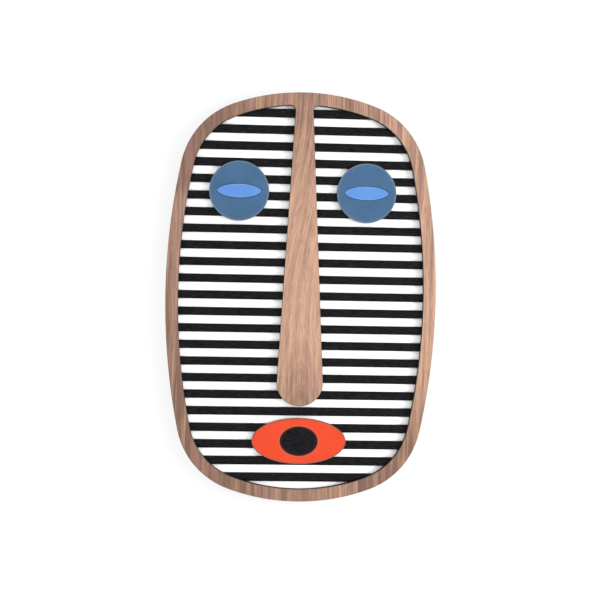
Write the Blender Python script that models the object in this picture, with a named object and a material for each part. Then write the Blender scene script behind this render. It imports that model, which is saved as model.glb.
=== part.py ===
"""Layered wooden wall mask: a white board, a black striped grille, a walnut rim with a long nose,
two blue eyes and an orange mouth.

Metres, +Z up. The front faces -Y and the back lies on the wall at Y = 0. The origin is the middle
of the back. Every piece is a flat sheet, drawn as loops of (x, z) points and given its thickness.
"""

import math

import bmesh
import bpy
from mathutils import Vector

# Outline: three tangent arcs in each quarter, side, corner and top.
HALF_WIDTH = 0.163
HALF_HEIGHT = 0.2465
SIDE_RADIUS = 0.784
TOP_RADIUS = 0.247
CORNER_RADIUS = 0.0956

# Sheet thicknesses, from the wall outwards, and the glue line between two sheets.
BOARD_THICK = 0.004
GRILLE_THICK = 0.004
WALNUT_THICK = 0.005
INLAY_THICK = 0.003
GLUE_LINE = 0.0003

# Rim and nose. The nose's tip is a distance above the outline's lowest point.
RIM_WIDTH = 0.015
WALNUT_EASE = 0.0008
NOSE_TOP_HALF = 0.0104
NOSE_END_RADIUS = 0.0279
NOSE_TIP_RISE = 0.1154
NOSE_FILLET = 0.006

# Stripes. The black rim of the grille stays a little behind the walnut's inner edge.
BAR_HEIGHT = 0.010
BAR_PITCH = 0.020
STRIPES_LIFT = 0.002
GRILLE_SETBACK = 0.0006

# Eyes and mouth. Their middles are distances from the outline's side, top and lowest point.
EYE_FROM_SIDE = 0.0861
EYE_DROP = 0.1191
EYE_RADIUS = 0.036
LENS_HALF_LENGTH = 0.0263
LENS_HALF_HEIGHT = 0.0082
LENS_FULLNESS = 0.58
MOUTH_RISE = 0.073
MOUTH_HALF_LENGTH = 0.0571
MOUTH_HALF_HEIGHT = 0.0279
CENTRE_HALF_LENGTH = 0.0226
CENTRE_HALF_HEIGHT = 0.0175
INLAY_EASE = 0.0004
INLAY_GAP = 0.0003

# Hanging hole, through the board into the gap under this bar, counted from the top bar as 0.
# The nose covers it.
HANGING_HOLE_RADIUS = 0.0035
HANGING_GAP = 1

# Points on each curve.
SIDE_STEPS = 10
CORNER_STEPS = 12
TOP_STEPS = 10
FILLET_STEPS = 4
NOSE_END_STEPS = 12
EYE_STEPS = 48
OVAL_STEPS = 48
LENS_STEPS = 14
HOLE_STEPS = 20
EASE_STEPS = 3
SAME_POINT = 1e-5

# Depths from the wall, each sheet on the one before.
BOARD_FRONT = BOARD_THICK
GRILLE_BACK = BOARD_FRONT + GLUE_LINE
GRILLE_FRONT = GRILLE_BACK + GRILLE_THICK
FACE_BACK = GRILLE_FRONT + GLUE_LINE
WALNUT_FRONT = FACE_BACK + WALNUT_THICK
INLAY_FRONT = FACE_BACK + INLAY_THICK

# Places, from the outline. As many bars as the rim leaves room for.
EYE_X = HALF_WIDTH - EYE_FROM_SIDE
EYE_Z = HALF_HEIGHT - EYE_DROP
MOUTH_Z = MOUTH_RISE - HALF_HEIGHT
NOSE_TIP_Z = NOSE_TIP_RISE - HALF_HEIGHT
BAR_COUNT = math.floor(2 * (HALF_HEIGHT - RIM_WIDTH) / BAR_PITCH)


def clear_scene():
    for obj in list(bpy.data.objects):
        bpy.data.objects.remove(obj, do_unlink=True)


def make_finish(name, colour, roughness, metallic=0.0):
    finish = bpy.data.materials.new(name)
    finish.use_nodes = True
    shader = finish.node_tree.nodes["Principled BSDF"]
    shader.inputs["Base Color"].default_value = (*colour, 1.0)
    shader.inputs["Roughness"].default_value = roughness
    shader.inputs["Metallic"].default_value = metallic
    return finish


def angle_of(vector):
    return math.atan2(vector.y, vector.x)


def arc(centre, radius, start, end, steps):
    """Points on an arc, both ends included."""
    angles = [start + (end - start) * i / steps for i in range(steps + 1)]
    return [centre + radius * Vector((math.cos(a), math.sin(a))) for a in angles]


def oval(half_length, half_height, steps):
    turns = [2 * math.pi * i / steps for i in range(steps)]
    return [Vector((half_length * math.cos(t), half_height * math.sin(t))) for t in turns]


def without_repeats(points):
    """Drops each point that falls on the one before it, also at the loop's join."""
    return [p for i, p in enumerate(points) if (p - points[i - 1]).length > SAME_POINT]


def mirrored_loop(half):
    """Closes a half loop on the X > 0 side that starts and ends on X = 0."""
    other = [Vector((-p.x, p.y)) for p in reversed(half)]
    return without_repeats(half + other)


# Centres of the three outline arcs. The corner arc touches the other two from inside.
SIDE_CENTRE = Vector((HALF_WIDTH - SIDE_RADIUS, 0.0))
TOP_CENTRE = Vector((0.0, HALF_HEIGHT - TOP_RADIUS))


def corner_centre():
    to_side = SIDE_RADIUS - CORNER_RADIUS
    to_top = TOP_RADIUS - CORNER_RADIUS
    line = TOP_CENTRE - SIDE_CENTRE
    along = (to_side**2 - to_top**2 + line.length_squared) / (2 * line.length)
    across = math.sqrt(to_side**2 - along**2)
    direction = line.normalized()
    return SIDE_CENTRE + direction * along + Vector((-direction.y, direction.x)) * across


CORNER_CENTRE = corner_centre()
SIDE_END = angle_of(CORNER_CENTRE - SIDE_CENTRE)
TOP_END = angle_of(CORNER_CENTRE - TOP_CENTRE)


def quarter(growth, top_start=math.pi / 2):
    """The outline's right upper quarter, from the top arc down to Z = 0, moved out by growth."""
    points = arc(TOP_CENTRE, TOP_RADIUS + growth, top_start, TOP_END, TOP_STEPS)
    points += arc(CORNER_CENTRE, CORNER_RADIUS + growth, TOP_END, SIDE_END, CORNER_STEPS)
    points += arc(SIDE_CENTRE, SIDE_RADIUS + growth, SIDE_END, 0.0, SIDE_STEPS)
    return points


def right_half(growth, top_start=math.pi / 2):
    """The outline's right half, from the top down to the middle of the bottom."""
    lower = [Vector((p.x, -p.y)) for p in reversed(quarter(growth))]
    return quarter(growth, top_start) + lower


def outline(growth=0.0):
    return mirrored_loop(right_half(growth))


# Nose: a round end and two straight sides that touch it and narrow to the top.
NOSE_CENTRE = Vector((0.0, NOSE_TIP_Z + NOSE_END_RADIUS))
NOSE_TOP = Vector((NOSE_TOP_HALF, HALF_HEIGHT - RIM_WIDTH))


def nose_side_angle():
    """The angle of the nose side's outward normal above the X axis."""
    reach = NOSE_TOP - NOSE_CENTRE
    return angle_of(reach) - math.acos(NOSE_END_RADIUS / reach.length)


NOSE_SIDE = nose_side_angle()


def window(growth=0.0):
    """The opening round the nose, inside the rim, made larger all round by growth."""
    nose_radius = NOSE_END_RADIUS - growth
    fillet_radius = NOSE_FILLET + growth
    rim_radius = TOP_RADIUS - RIM_WIDTH + growth
    normal = Vector((math.cos(NOSE_SIDE), math.sin(NOSE_SIDE)))
    upward = Vector((-normal.y, normal.x))
    # The fillet's centre lies off the nose's side and inside the rim's arc by the fillet's radius.
    start = NOSE_CENTRE + normal * (nose_radius + fillet_radius) - TOP_CENTRE
    slope = start.dot(upward)
    rest = start.length_squared - (rim_radius - fillet_radius) ** 2
    fillet_centre = TOP_CENTRE + start + upward * (math.sqrt(slope**2 - rest) - slope)
    rim_angle = angle_of(fillet_centre - TOP_CENTRE)
    half = arc(NOSE_CENTRE, nose_radius, -math.pi / 2, NOSE_SIDE, NOSE_END_STEPS)
    half += arc(fillet_centre, fillet_radius, NOSE_SIDE + math.pi, rim_angle, FILLET_STEPS)
    half += right_half(growth - RIM_WIDTH, rim_angle)
    return mirrored_loop(half)


def part_above(points, height):
    """The part of a convex loop above a level line."""
    kept = []
    for i, point in enumerate(points):
        before = points[i - 1]
        if (before.y - height) * (point.y - height) < 0:
            kept.append(before.lerp(point, (height - before.y) / (point.y - before.y)))
        if point.y >= height:
            kept.append(point)
    return kept


def part_below(points, height):
    flipped = [Vector((p.x, -p.y)) for p in points]
    return [Vector((p.x, -p.y)) for p in part_above(flipped, -height)]


def bar_top(index):
    """Height of a bar's upper edge, counted from the top bar."""
    field = (BAR_COUNT - 1) * BAR_PITCH + BAR_HEIGHT
    return STRIPES_LIFT + field / 2 - index * BAR_PITCH


def grille_windows():
    """The gaps between the bars, and those above the first and below the last."""
    inner = outline(GRILLE_SETBACK - RIM_WIDTH)
    gaps = []
    for i in range(BAR_COUNT + 1):
        gap = inner
        if i < BAR_COUNT:
            gap = part_above(gap, bar_top(i))
        if i > 0:
            gap = part_below(gap, bar_top(i - 1) - BAR_HEIGHT)
        if gap:
            gaps.append(without_repeats(gap))
    return gaps


def lens(growth=0.0):
    """A pointed oval. LENS_FULLNESS of 0.5 gives an ellipse, and 1 two flat arcs."""
    length = LENS_HALF_LENGTH + growth
    height = LENS_HALF_HEIGHT + growth
    turns = [math.pi * i / LENS_STEPS for i in range(LENS_STEPS + 1)]
    upper = [Vector((math.cos(t), math.sin(t) ** (2 * LENS_FULLNESS))) for t in turns]
    points = upper + [Vector((p.x, -p.y)) for p in reversed(upper)]
    return without_repeats([Vector((p.x * length, p.y * height)) for p in points])


def edge_levels(back, front, ease):
    """Depths and how far the edge is drawn back at each: straight, then round at the front."""
    levels = [(back, 0.0)]
    if not ease:
        return levels + [(front, 0.0)]
    for i in range(EASE_STEPS + 1):
        turn = math.pi / 2 * i / EASE_STEPS
        levels.append((front - ease * (1 - math.sin(turn)), ease * (1 - math.cos(turn))))
    return levels


def add_wall(bm, loops):
    """Joins the loops of one edge, level by level, and returns its edges at the back and front."""
    rows = [[bm.verts.new((p.x, -depth, p.y)) for p in loop] for depth, loop in loops]
    for lower, upper in zip(rows, rows[1:]):
        for i in range(len(lower)):
            bm.faces.new((lower[i - 1], lower[i], upper[i], upper[i - 1]))
    ends = [rows[0], rows[-1]]
    return [[bm.edges.get((row[i - 1], row[i])) for i in range(len(row))] for row in ends]


def make_sheet(name, finish, place, depths, outer, holes=(), ease=0.0):
    """A flat piece. outer and each hole return their loop, grown by a given distance."""
    levels = edge_levels(*depths, ease)
    bm = bmesh.new()
    back_edges, front_edges = [], []
    for shape in (outer, *holes):
        growth = -1 if shape is outer else 1
        at_back, at_front = add_wall(bm, [(d, shape(growth * drawn)) for d, drawn in levels])
        back_edges += at_back
        front_edges += at_front
    bmesh.ops.triangle_fill(bm, edges=back_edges, use_beauty=True, normal=(0, 1, 0))
    bmesh.ops.triangle_fill(bm, edges=front_edges, use_beauty=True, normal=(0, -1, 0))
    bmesh.ops.recalc_face_normals(bm, faces=bm.faces)
    mesh = bpy.data.meshes.new(name)
    bm.to_mesh(mesh)
    bm.free()
    mesh.materials.append(finish)
    mesh.shade_smooth()
    mesh.set_sharp_from_angle(angle=math.radians(30))
    obj = bpy.data.objects.new(name, mesh)
    bpy.context.scene.collection.objects.link(obj)
    obj.location = (place[0], 0.0, place[1])
    return obj


def make_back_panel(finish):
    # The hole's upper edge rests on the nail, whose head lies in the gap between two bars.
    gap_middle = bar_top(HANGING_GAP) - BAR_HEIGHT - (BAR_PITCH - BAR_HEIGHT) / 2
    centre = Vector((0.0, gap_middle))

    def hole(growth):
        radius = HANGING_HOLE_RADIUS + growth
        return [centre + point for point in oval(radius, radius, HOLE_STEPS)]

    return make_sheet("back_panel", finish, (0, 0), (0.0, BOARD_FRONT), outline, [hole])


def make_grille(finish):
    # Its edges are square, so its gaps are never grown.
    holes = [lambda _growth, gap=gap: gap for gap in grille_windows()]
    depths = (GRILLE_BACK, GRILLE_FRONT)
    return make_sheet("stripe_grille", finish, (0, 0), depths, outline, holes)


def make_rim_and_nose(finish):
    depths = (FACE_BACK, WALNUT_FRONT)
    return make_sheet("rim_and_nose", finish, (0, 0), depths, outline, [window], WALNUT_EASE)


def make_eye(side, x, disc_finish, lens_finish):
    place = (x, EYE_Z)
    depths = (FACE_BACK, INLAY_FRONT)

    def disc(growth):
        return oval(EYE_RADIUS + growth, EYE_RADIUS + growth, EYE_STEPS)

    def socket(growth):
        return lens(INLAY_GAP + growth)

    return [
        make_sheet(f"eye_disc_{side}", disc_finish, place, depths, disc, [socket], INLAY_EASE),
        make_sheet(f"eye_lens_{side}", lens_finish, place, depths, lens, (), INLAY_EASE),
    ]


def make_mouth(ring_finish, centre_finish):
    place = (0.0, MOUTH_Z)
    depths = (FACE_BACK, INLAY_FRONT)

    def lips(growth):
        return oval(MOUTH_HALF_LENGTH + growth, MOUTH_HALF_HEIGHT + growth, OVAL_STEPS)

    def centre(growth):
        return oval(CENTRE_HALF_LENGTH + growth, CENTRE_HALF_HEIGHT + growth, OVAL_STEPS)

    def socket(growth):
        return centre(INLAY_GAP + growth)

    return [
        make_sheet("mouth_ring", ring_finish, place, depths, lips, [socket], INLAY_EASE),
        make_sheet("mouth_centre", centre_finish, place, depths, centre, (), INLAY_EASE),
    ]


def main():
    clear_scene()
    white = make_finish("white_paint", (0.91, 0.91, 0.90), 0.55)
    black = make_finish("black_stain", (0.021, 0.020, 0.021), 0.5)
    walnut = make_finish("walnut_veneer", (0.42, 0.26, 0.19), 0.5)
    blue = make_finish("blue_paint", (0.080, 0.181, 0.342), 0.45)
    light_blue = make_finish("light_blue_paint", (0.144, 0.352, 0.855), 0.45)
    orange = make_finish("orange_paint", (0.956, 0.093, 0.034), 0.45)
    pieces = [make_back_panel(white), make_grille(black), make_rim_and_nose(walnut)]
    pieces += make_eye("left", -EYE_X, blue, light_blue)
    pieces += make_eye("right", EYE_X, blue, light_blue)
    pieces += make_mouth(orange, black)
    mask = bpy.data.objects.new("mask", None)
    bpy.context.scene.collection.objects.link(mask)
    for piece in pieces:
        piece.parent = mask


main()
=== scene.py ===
import math

import bpy
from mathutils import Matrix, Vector


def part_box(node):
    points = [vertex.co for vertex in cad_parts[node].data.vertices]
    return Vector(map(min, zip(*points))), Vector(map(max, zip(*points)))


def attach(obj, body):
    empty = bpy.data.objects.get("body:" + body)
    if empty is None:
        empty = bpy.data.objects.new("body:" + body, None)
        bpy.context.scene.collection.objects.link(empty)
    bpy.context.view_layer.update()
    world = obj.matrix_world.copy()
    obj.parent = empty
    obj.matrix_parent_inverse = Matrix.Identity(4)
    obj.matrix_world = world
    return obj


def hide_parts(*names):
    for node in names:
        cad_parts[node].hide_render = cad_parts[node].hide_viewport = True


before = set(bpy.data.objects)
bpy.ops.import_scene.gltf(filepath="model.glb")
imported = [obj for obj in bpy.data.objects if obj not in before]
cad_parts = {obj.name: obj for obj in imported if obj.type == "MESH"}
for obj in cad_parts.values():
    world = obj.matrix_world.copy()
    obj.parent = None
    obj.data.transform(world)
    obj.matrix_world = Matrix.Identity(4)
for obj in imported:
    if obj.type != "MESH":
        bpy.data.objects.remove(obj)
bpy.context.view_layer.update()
print("packed sheets:", ", ".join(sorted(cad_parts)))


class Wire:
    # a socket that can be used in plain arithmetic; each operator adds a Math node
    def __init__(self, finish, socket):
        self.finish = finish
        self.socket = socket

    def sum(self, operation, *values):
        return self.finish.add("ShaderNodeMath", {"operation": operation}, dict(enumerate(values)))

    def __add__(self, other):
        return self.sum("ADD", self, other)

    __radd__ = __add__

    def __sub__(self, other):
        return self.sum("SUBTRACT", self, other)

    def __rsub__(self, other):
        return self.sum("SUBTRACT", other, self)

    def __mul__(self, other):
        return self.sum("MULTIPLY", self, other)

    def __truediv__(self, other):
        return self.sum("DIVIDE", self, other)


class Finish:
    # one procedural material
    def __init__(self, name, **sockets):
        self.material = bpy.data.materials.new(name)
        self.material.use_nodes = True
        self.tree = self.material.node_tree
        self.shader = self.tree.nodes["Principled BSDF"]
        for socket, value in sockets.items():
            self.shader.inputs[socket.replace("_", " ")].default_value = value
        self.place = self.add("ShaderNodeTexCoord", out="Object")

    def add(self, kind, settings=None, values=None, out=0):
        node = self.tree.nodes.new(kind)
        for name, value in (settings or {}).items():
            if name == "stops":
                while len(node.color_ramp.elements) < len(value):
                    node.color_ramp.elements.new(1.0)
                for element, (spot, colour) in zip(node.color_ramp.elements, value):
                    element.position = spot
                    element.color = (*colour, 1.0)
            else:
                setattr(node, name, value)
        for name, value in (values or {}).items():
            if isinstance(value, Wire):
                self.tree.links.new(value.socket, node.inputs[name])
            elif isinstance(value, tuple) and len(value) == 3 and node.inputs[name].type == "RGBA":
                node.inputs[name].default_value = (*value, 1.0)
            else:
                node.inputs[name].default_value = value
        return Wire(self, node.outputs[out])

    def axis(self, letter):
        return self.add("ShaderNodeSeparateXYZ", None, {0: self.place}, out=letter)

    def vector(self, operation, first, second):
        return self.add("ShaderNodeVectorMath", {"operation": operation}, {0: first, 1: second})

    def length(self, vector):
        return self.add("ShaderNodeVectorMath", {"operation": "LENGTH"}, {0: vector}, out="Value")

    def noise(self, perMetre, detail=2.0, roughness=0.5, place=None):
        # values around 0.5, with so many features per metre along X, Y and Z
        spread = self.vector("MULTIPLY", place or self.place, perMetre)
        values = {"Vector": spread, "Scale": 1.0, "Detail": detail, "Roughness": roughness}
        return self.add("ShaderNodeTexNoise", {"noise_dimensions": "3D"}, values)

    def fade(self, value, start, end):
        # 0 below start, 1 past end, smooth between
        values = {"Value": value, "From Min": start, "From Max": end}
        return self.add("ShaderNodeMapRange", {"interpolation_type": "SMOOTHSTEP"}, values)

    def held(self, value, low, high):
        # the value itself, kept between two limits
        return value.sum("MINIMUM", value.sum("MAXIMUM", value, low), high)

    def ramp(self, value, stops):
        return self.add("ShaderNodeValToRGB", {"stops": stops}, {0: value})

    def blend(self, value, limits, look):
        # from the look's low colour to its high one
        return self.ramp(value, [(limits[0], look["low"]), (limits[1], look["high"])])

    def mix(self, factor, first, second):
        values = {0: factor, 6: first, 7: second}
        return self.add("ShaderNodeMix", {"data_type": "RGBA"}, values, out=2)

    def shifted(self, place, sideways):
        # the same place, moved along X by a varying amount
        offset = self.add("ShaderNodeCombineXYZ", None, {"X": sideways})
        return self.vector("ADD", place, offset)

    def colour(self, wire):
        self.tree.links.new(wire.socket, self.shader.inputs["Base Color"])

    def roughness(self, wire):
        self.tree.links.new(wire.socket, self.shader.inputs["Roughness"])

    def relief(self, height, depth):
        bump = self.add("ShaderNodeBump", None, {"Height": height, "Distance": depth, "Strength": 1.0})
        self.tree.links.new(bump.socket, self.shader.inputs["Normal"])


walnutLook = {
    "dark": (0.122, 0.065, 0.047),
    "middle": (0.250, 0.143, 0.102),
    "light": (0.376, 0.225, 0.157),
    "toneStops": (0.0, 0.5, 0.95),  # the tones that show as dark, middle and light
    "golden": (0.325, 0.196, 0.112),
    "goldenLimits": (0.50, 0.66),
    "rosy": (0.236, 0.130, 0.104),
    "rosyLimits": (0.48, 0.34),
    "tint": 0.44,
    "pore": (0.073, 0.040, 0.028),
    "poreLimits": (0.58, 0.70),
    "poreCover": 0.5,
    "roughness": 0.6,
    "roughnessSwing": 0.2,
    "threadRelief": 0.6,
    "depth": 0.00006,
    # features per metre along X, Y and Z
    "streaks": (190, 190, 5),
    "threads": (950, 950, 16),
    "flecks": (2470, 2470, 90),
    "hues": (130, 130, 8),
    "clouds": (16, 16, 5),
    "arches": (120, 120, 120),
    "sway": (7, 7, 4),
    # how far each changes the tone
    "streakContrast": 2.7,
    "heartCalm": 0.50,  # the share of that contrast that the heart loses
    "threadContrast": 1.3,
    "cloudContrast": 0.7,
    # tone over the whole sheet, with places in metres from the middle of the mask
    "tone": 0.38,
    # lighter to the right: partly the veneer's own tone, partly painted light from the lamp on the right
    "sideways": 1.6,
    "upwards": 1.10,
    "heart": 0.35,
    "heartLevel": 0.90,  # the share of the upward change that the heart loses
    "heartEdges": (0.0004, 0.004),  # squares of the distance from the middle line
    "heartHeight": 0.035,
    "ends": 0.40,
    "endsReach": 0.035,  # square of the distance from the heart's height
    # a painted pool of light half way down the right rim, level with the lamp, and painted shade over
    # the crown, darkest to the left
    "rightSide": (0.07, 0.14),
    "rightPaintedLight": 0.35,
    "rightFall": 33,
    "rightReach": (-0.16, 0.112),
    "crownFrom": (0.11, 0.16),
    "crownPaintedShade": 0.40,
    "crownTilt": 2.6,
    # how the figure bends on the nose
    "noseEnd": (-0.14, -0.20),
    "lean": 0.036,
    "leanSpan": (0.25, -0.02),
    "swayWidth": 0.016,
    "bowing": 40,
    "bowHeight": 0.3,
}


def veneerTone(finish, x, z, heart):
    # the heart is pale, and darker towards both ends of the nose. the rim is darker below. it is darker
    # to the left, partly the veneer's own tone and partly painted shade, and it has painted shade at the
    # crown and a painted pool of light half way down the right
    look = walnutLook
    height = z - look["heartHeight"]
    ends = finish.fade(height * height, 0.0, look["endsReach"])
    slope = height * look["upwards"] * (1 - heart * look["heartLevel"])
    level = finish.held(z, *look["rightReach"])
    # painted light on the right, fading above and below the lamp's height, and painted shade over the
    # crown
    paintedPool = look["rightPaintedLight"] - level * level * look["rightFall"]
    right = finish.fade(x, *look["rightSide"]) * paintedPool
    crown = finish.fade(z, *look["crownFrom"]) * (x * look["crownTilt"] - look["crownPaintedShade"])
    pale = heart * look["heart"] - ends * look["ends"] * heart
    return look["tone"] + x * look["sideways"] + slope + right + crown * (1 - heart) + pale


def walnutVeneer():
    # its heart runs up the nose, where the figure leans and makes long arches
    look = walnutLook
    finish = Finish("walnut_veneer", Roughness=look["roughness"], Specular_IOR_Level=0.2)
    x = finish.axis("X")
    z = finish.axis("Z")
    heart = 1 - finish.fade(x * x, *look["heartEdges"])
    onNose = heart * (1 - finish.fade(z, *look["noseEnd"]))
    lean = finish.fade(z, *look["leanSpan"]) * onNose * look["lean"]
    sway = (finish.noise(look["sway"], detail=1.0) - 0.5) * look["swayWidth"]
    place = finish.shifted(finish.place, sway + lean)
    streaks = finish.noise(look["streaks"], detail=3.0, roughness=0.6, place=place)
    threads = finish.noise(look["threads"], place=place)
    clouds = finish.noise(look["clouds"], detail=1.0)
    archPlace = x * x * look["bowing"] + (z - look["heartHeight"]) * look["bowHeight"] + sway
    bow = finish.add("ShaderNodeCombineXYZ", None, {"X": archPlace})
    arches = finish.noise(look["arches"], detail=3.0, roughness=0.6, place=bow)
    streakTone = (streaks - 0.5) * look["streakContrast"] * (1 - heart * look["heartCalm"])
    grain = streakTone + (threads - 0.5) * look["threadContrast"]
    clouding = (clouds - 0.5) * look["cloudContrast"]
    tone = veneerTone(finish, x, z, heart) + grain + clouding + (arches - 0.5) * onNose
    wood = finish.ramp(tone, list(zip(look["toneStops"], (look["dark"], look["middle"], look["light"]))))
    hues = finish.noise(look["hues"], place=place)
    for tint in ("golden", "rosy"):
        cover = finish.fade(hues, *look[tint + "Limits"]) * look["tint"]
        wood = finish.mix(cover, wood, look[tint])
    flecks = finish.noise(look["flecks"], detail=1.0, place=place)
    pores = finish.fade(flecks, *look["poreLimits"])
    finish.colour(finish.mix(pores * look["poreCover"], wood, look["pore"]))
    finish.roughness(look["roughness"] + (threads - 0.5) * look["roughnessSwing"])
    finish.relief(threads * look["threadRelief"] - pores, look["depth"])
    return finish.material


scorchAndShadeLook = {
    # burnt browns, made darker still as painted shade on the walls
    "low": (0.015, 0.010, 0.008),
    "high": (0.068, 0.045, 0.035),
    "limits": (0.3, 0.7),
    "roughness": 0.7,
    "burns": (420, 60, 420),  # features per metre, here and in the looks below
    "layers": (3, 1400, 3),
    "burnShare": 0.7,
    "depth": 0.00008,
}


def scorchedAndShadedEdge():
    # the cut edge of the walnut sheet, browned by the cutter and darkened further by painted shade
    look = scorchAndShadeLook
    finish = Finish("walnut_cut_edge_scorched_and_shaded", Roughness=look["roughness"], Specular_IOR_Level=0.3)
    burns = finish.noise(look["burns"])
    layers = finish.noise(look["layers"], detail=1.0)
    tone = burns * look["burnShare"] + layers * (1 - look["burnShare"])
    finish.colour(finish.blend(tone, look["limits"], look))
    finish.relief(burns, look["depth"])
    return finish.material


# thin darker or paler lines painted beside an outline: where each starts and is full, outwards from it
outlineLines = {
    "discEdge": {"colour": (0.100, 0.125, 0.160), "start": -0.0026, "full": -0.0008, "strength": 0.62},
    # painted shade in the seam round the lens, on the disc
    "lensSeamShade": {"colour": (0.014, 0.050, 0.125), "start": 0.0018, "full": 0.0003, "strength": 0.45},
    "lensEdge": {"colour": (0.140, 0.245, 0.420), "start": -0.0015, "full": -0.0004, "strength": 0.60},
    "lipsEdge": {"colour": (0.150, 0.060, 0.042), "start": -0.0027, "full": -0.0008, "strength": 0.80},
    "lipsSocket": {"colour": (0.240, 0.085, 0.055), "start": 0.0028, "full": 0.0010, "strength": 0.62},
    "inlayEdge": {"colour": (0.050, 0.006, 0.003), "start": -0.0026, "full": -0.0006, "strength": 0.90},
}
lineSpots = (90, 90, 90)  # features per metre, where a line is stronger or weaker


def pastOutline(finish, node):
    # metres from a round or oval sheet's outline out to a place, less than 0 inside it
    low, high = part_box(node)
    middle = tuple((start + end) / 2 for start, end in zip(low, high))
    halfLength = (high[0] - low[0]) / 2
    halfHeight = (high[2] - low[2]) / 2
    offset = finish.vector("SUBTRACT", finish.place, middle)
    share = finish.length(finish.vector("MULTIPLY", offset, (1 / halfLength, 0, 1 / halfHeight)))
    slope = finish.length(finish.vector("MULTIPLY", offset, (halfLength ** -2, 0, halfHeight ** -2)))
    return (share - 1) * share / slope


def withOutlineLines(finish, colour, lines):
    # lines names a kind of line for each outline that the piece has
    if not lines:
        return colour
    uneven = finish.noise(lineSpots) + 0.5
    for node, kind in lines.items():
        line = outlineLines[kind]
        shown = finish.fade(pastOutline(finish, node), line["start"], line["full"])
        colour = finish.mix(shown * uneven * line["strength"], colour, line["colour"])
    return colour


whiteLook = {
    "low": (0.88, 0.88, 0.875),
    "high": (0.93, 0.93, 0.925),
    "limits": (0.3, 0.7),
    "roughness": 0.55,
    "roughnessSwing": 0.2,
    "mottle": (60, 60, 60),
    "stipple": (1500, 1500, 1500),
    "depth": 0.00002,
}


def whitePaint():
    look = whiteLook
    finish = Finish("white_paint", Roughness=look["roughness"], Specular_IOR_Level=0.4)
    mottle = finish.noise(look["mottle"], detail=3.0)
    stipple = finish.noise(look["stipple"], detail=1.0)
    finish.colour(finish.blend(mottle, look["limits"], look))
    finish.roughness(look["roughness"] + (mottle - 0.5) * look["roughnessSwing"])
    finish.relief(stipple, look["depth"])
    return finish.material


blackLook = {
    "low": (0.0014, 0.0013, 0.0020),
    "high": (0.0090, 0.0085, 0.0100),
    "limits": (0.38, 0.64),
    "roughness": 0.5,
    "roughnessSwing": 0.35,
    "grain": (130, 700, 700),
    "fine": (60, 2400, 2400),
    "fineRelief": 0.5,
    "depth": 0.00005,
}


def blackStain(name, lines):
    # grain runs along the bars
    look = blackLook
    finish = Finish(name, Roughness=look["roughness"], Specular_IOR_Level=0.05)
    grain = finish.noise(look["grain"], detail=3.0, roughness=0.65)
    fine = finish.noise(look["fine"], detail=1.0)
    stain = finish.blend(grain, look["limits"], look)
    finish.colour(withOutlineLines(finish, stain, lines))
    finish.roughness(look["roughness"] + (grain - 0.5) * look["roughnessSwing"])
    finish.relief(grain + fine * look["fineRelief"], look["depth"])
    return finish.material


# what all the matt paints share: broad patches, a faint upright grain and a fine stipple
matSurface = {
    "limits": (0.3, 0.7),
    "roughnessSwing": 0.15,
    "patches": (40, 40, 40),
    "patchShare": 0.75,
    "grain": (700, 700, 30),
    "stipple": (1800, 1800, 1800),
    "depth": 0.00002,
}


def matPaint(name, look, lines):
    surface = matSurface
    finish = Finish(name, Roughness=look["roughness"], Specular_IOR_Level=0.15)
    patches = finish.noise(surface["patches"])
    grain = finish.noise(surface["grain"])
    stipple = finish.noise(surface["stipple"], detail=1.0)
    tone = patches * surface["patchShare"] + grain * (1 - surface["patchShare"])
    paint = finish.blend(tone, surface["limits"], look)
    finish.colour(withOutlineLines(finish, paint, lines))
    finish.roughness(look["roughness"] + (patches - 0.5) * surface["roughnessSwing"])
    finish.relief(stipple + grain, surface["depth"])
    return finish.material


blueLook = {"low": (0.026, 0.069, 0.134), "high": (0.038, 0.089, 0.165), "roughness": 0.55}
skyLook = {"low": (0.061, 0.159, 0.385), "high": (0.071, 0.180, 0.430), "roughness": 0.55}
orangeLook = {"low": (0.446, 0.0330, 0.0086), "high": (0.494, 0.0405, 0.0120), "roughness": 0.55}
# the lips' walls: the same orange paint made darker, as painted shade
orangeShadedEdgeLook = {"low": (0.170, 0.019, 0.009), "high": (0.240, 0.026, 0.010), "roughness": 0.6}


def eyePaint(side):
    # the disc carries painted shade in the seam round its lens
    lines = {"eye_disc_" + side: "discEdge", "eye_lens_" + side: "lensSeamShade"}
    return matPaint("blue_paint_" + side, blueLook, lines)


def lensPaint(side):
    return matPaint("light_blue_paint_" + side, skyLook, {"eye_lens_" + side: "lensEdge"})


def lipsPaint():
    return matPaint("orange_paint", orangeLook, {"mouth_ring": "lipsEdge", "mouth_centre": "lipsSocket"})


finishes = {
    "walnut": walnutVeneer(),
    "edge": scorchedAndShadedEdge(),
    "white": whitePaint(),
    "black": blackStain("black_stain", {}),
    "blackInlay": blackStain("black_inlay", {"mouth_centre": "inlayEdge"}),
    "blueLeft": eyePaint("left"),
    "blueRight": eyePaint("right"),
    "skyLeft": lensPaint("left"),
    "skyRight": lensPaint("right"),
    "orange": lipsPaint(),
    "orangeShadedEdge": matPaint("orange_paint_shaded_edge", orangeShadedEdgeLook, {}),
}
print("finishes:", len(finishes))


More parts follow.
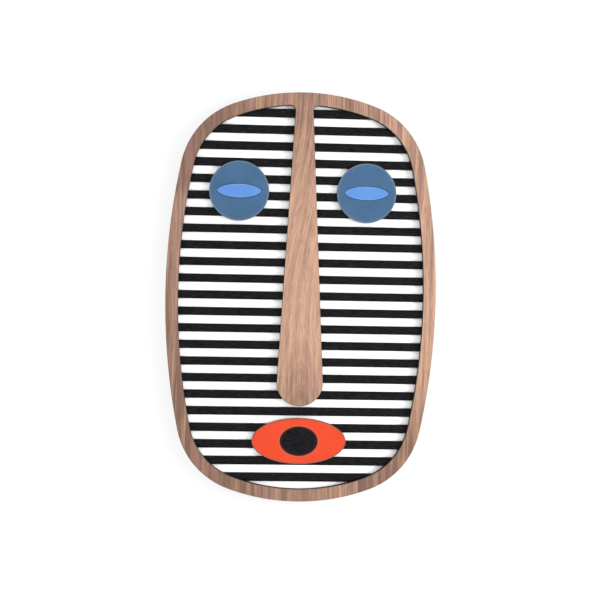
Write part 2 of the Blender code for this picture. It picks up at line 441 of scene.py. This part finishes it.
# node, name, slot, finish of the faces and of the edge
sheets = [
    ("back_panel", "white_board", "white_paint", "white", "white"),
    ("stripe_grille", "striped_sheet", "black_stain", "black", "black"),
    ("rim_and_nose", "walnut_sheet", "walnut", "walnut", "edge"),
    ("eye_disc_left", "left_eye", "blue_paint", "blueLeft", "blueLeft"),
    ("eye_disc_right", "right_eye", "blue_paint", "blueRight", "blueRight"),
    ("eye_lens_left", "left_lens", "light_blue_paint", "skyLeft", "skyLeft"),
    ("eye_lens_right", "right_lens", "light_blue_paint", "skyRight", "skyRight"),
    ("mouth_ring", "lips", "orange_paint", "orange", "orangeShadedEdge"),
    ("mouth_centre", "mouth_inlay", "black_stain", "blackInlay", "blackInlay"),
]
sheetLook = {
    "weldDistance": 0.00001,
    "smoothDegrees": 50,
    "flatLimit": 0.9,  # a face that looks along Y more than this is flat, the others are the edge
    "flatWeight": 100,
}


def selectOnly(piece):
    bpy.ops.object.select_all(action="DESELECT")
    piece.select_set(True)
    bpy.context.view_layer.objects.active = piece


def dressSheet(node, name, slot, faceFinish, edgeFinish):
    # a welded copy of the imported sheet, smooth round its edge and flat on its faces
    look = sheetLook
    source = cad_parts[node]
    piece = bpy.data.objects.new(name, source.data.copy())
    bpy.context.scene.collection.objects.link(piece)
    selectOnly(piece)
    bpy.ops.object.mode_set(mode="EDIT")
    bpy.ops.mesh.select_all(action="SELECT")
    bpy.ops.mesh.remove_doubles(threshold=look["weldDistance"])
    bpy.ops.object.mode_set(mode="OBJECT")
    bpy.ops.object.shade_smooth_by_angle(angle=math.radians(look["smoothDegrees"]))
    piece.data.materials.clear()
    piece.data.materials.append(finishes[faceFinish])
    piece.data.materials.append(finishes[edgeFinish])
    for face in piece.data.polygons:
        face.material_index = 0 if abs(face.normal.y) > look["flatLimit"] else 1
    weights = piece.modifiers.new("Flat faces", "WEIGHTED_NORMAL")
    weights.mode = "FACE_AREA"
    weights.weight = look["flatWeight"]
    weights.keep_sharp = True
    bpy.ops.object.modifier_apply(modifier=weights.name)
    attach(piece, "root")
    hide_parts(node)
    print("sheet:", name, len(piece.data.polygons), "faces")


for sheet in sheets:
    dressSheet(*sheet)


wallLook = {
    "radii": (0.675, 1.0575),
    "corners": 96,
    "gap": 0.0005,
    "ownLight": 0.755,
    "colour": (0.145, 0.145, 0.145),
    "roughness": 0.9,
}


def hangingWall():
    # it gives off light and is clear from behind, so the mask's back can be looked at
    look = wallLook
    bpy.ops.object.select_all(action="DESELECT")
    bpy.ops.mesh.primitive_circle_add(vertices=look["corners"], radius=1, fill_type="NGON")
    wall = bpy.context.object
    wall.name = "wall"
    wall.location = (0, look["gap"], 0)
    wall.rotation_euler = (math.pi / 2, 0, 0)
    wall.scale = (*look["radii"], 1)
    bpy.ops.object.transform_apply(location=True, rotation=True, scale=True)
    colour = (*look["colour"], 1)
    finish = Finish("wall_white", Base_Color=colour, Roughness=look["roughness"], Specular_IOR_Level=0.0)
    finish.shader.inputs["Emission Color"].default_value = (1, 1, 1, 1)
    finish.shader.inputs["Emission Strength"].default_value = look["ownLight"]
    behind = finish.add("ShaderNodeNewGeometry", out="Backfacing")
    clear = finish.add("ShaderNodeBsdfTransparent")
    shown = Wire(finish, finish.shader.outputs[0])
    either = finish.add("ShaderNodeMixShader", None, {0: behind, 1: shown, 2: clear})
    finish.tree.links.new(either.socket, finish.tree.nodes["Material Output"].inputs["Surface"])
    wall.data.materials.append(finish.material)


floorLook = {"size": 5.0, "height": -1.45, "colour": (0.82, 0.82, 0.81)}


def paleFloor():
    look = floorLook
    bpy.ops.object.select_all(action="DESELECT")
    bpy.ops.mesh.primitive_plane_add(size=look["size"], location=(0, 0, look["height"]))
    floor = bpy.context.object
    floor.name = "floor"
    finish = Finish("floor_pale", Base_Color=(*look["colour"], 1), Roughness=0.8)
    floor.data.materials.append(finish.material)


lightLook = {
    "room": 1.60,
    "keyPlace": (1.40, -1.02, 0.0),
    "keySize": 0.80,
    "keyPower": 24.5,
}


def studioLight():
    look = lightLook
    world = bpy.data.worlds.new("pale_room")
    world.use_nodes = True
    world.node_tree.nodes["Background"].inputs["Color"].default_value = (1, 1, 1, 1)
    world.node_tree.nodes["Background"].inputs["Strength"].default_value = look["room"]
    bpy.context.scene.world = world
    lamp = bpy.data.lights.new("key", "AREA")
    lamp.shape = "DISK"
    lamp.size = look["keySize"]
    lamp.energy = look["keyPower"]
    key = bpy.data.objects.new("key", lamp)
    key.location = look["keyPlace"]
    key.rotation_euler = (-Vector(look["keyPlace"])).to_track_quat("-Z", "Y").to_euler()
    bpy.context.scene.collection.objects.link(key)


cameraLook = {
    "place": (-0.0578, -1.2159, 0.0214),
    "turn": (88.884, -1.042, -2.658),
    "lens": 60.0,
    "sensor": 36.0,
}


def photoCamera():
    look = cameraLook
    eye = bpy.data.cameras.new("camera")
    eye.lens = look["lens"]
    eye.sensor_width = look["sensor"]
    camera = bpy.data.objects.new("camera", eye)
    camera.location = look["place"]
    camera.rotation_euler = [math.radians(angle) for angle in look["turn"]]
    bpy.context.scene.collection.objects.link(camera)
    bpy.context.scene.camera = camera


hangingWall()
paleFloor()
studioLight()
photoCamera()
bpy.context.scene.view_settings.view_transform = "Standard"
print("stage, light and camera set")
